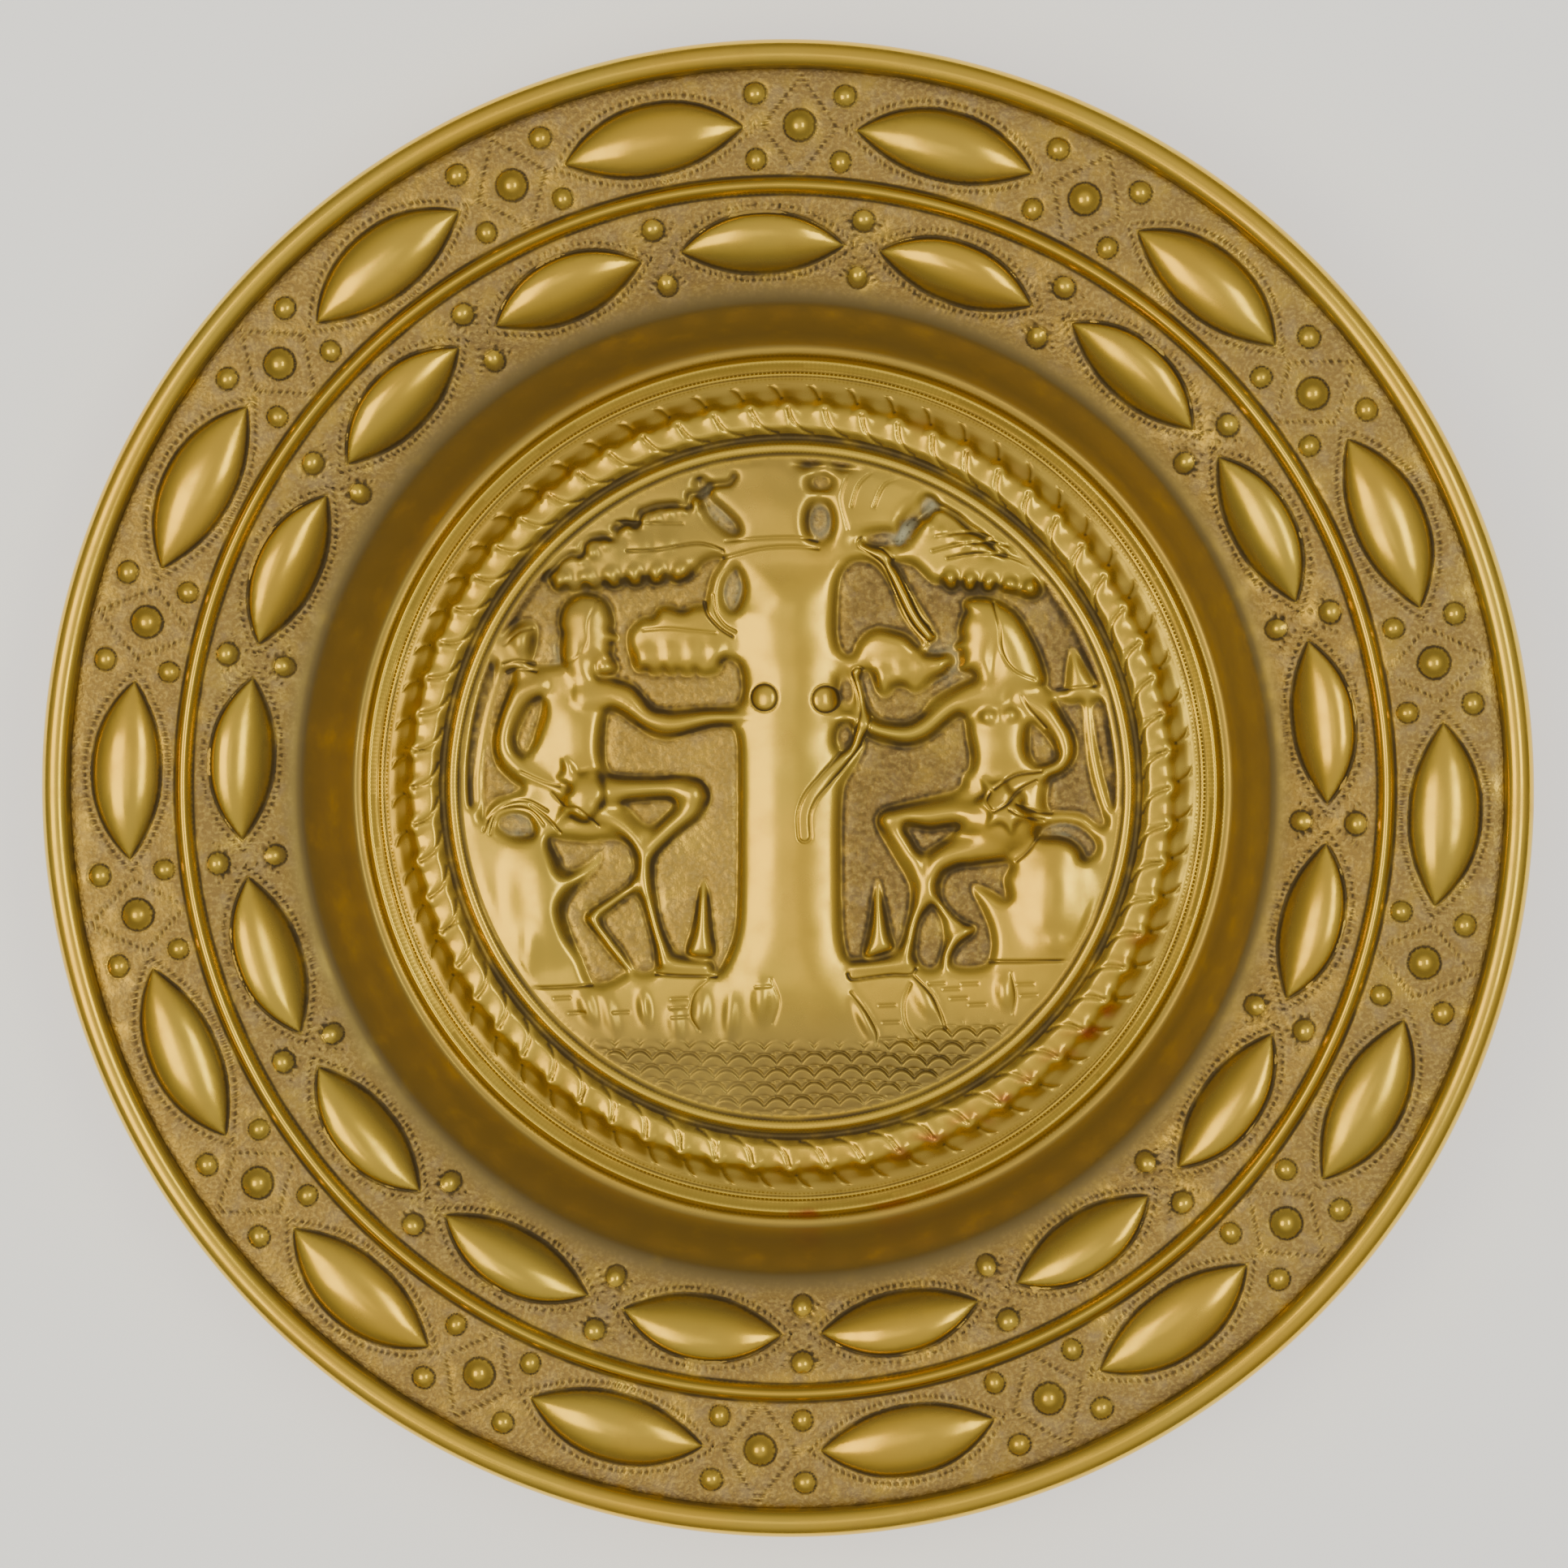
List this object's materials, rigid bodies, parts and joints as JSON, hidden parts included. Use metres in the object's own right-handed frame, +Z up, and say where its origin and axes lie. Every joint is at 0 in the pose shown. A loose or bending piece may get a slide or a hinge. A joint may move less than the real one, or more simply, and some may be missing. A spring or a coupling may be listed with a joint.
{
  "type": "embossed brass charger",
  "caption": "Round shallow brass charger with a rolled edge, a broad brim of pressed lens bosses and beads, a steep well, a leaf wreath and an embossed scene of a couple beside a fruit tree.",
  "frame": {"origin": "centre of the dish on the plane that it lies on", "axes": "+Z up out of the dish's face, +Y towards the top of the picture, +X to the viewer's right"},
  "size_m": [0.4, 0.4, 0.0354],
  "materials": {
    "brass": "aged sheet brass, polished on the raised forms, matted and dark with patina in the sunk ground, with small reddish and grey-green stains"
  },
  "bodies": {
    "root": {"charger": "brass"}
  },
  "joints": []
}
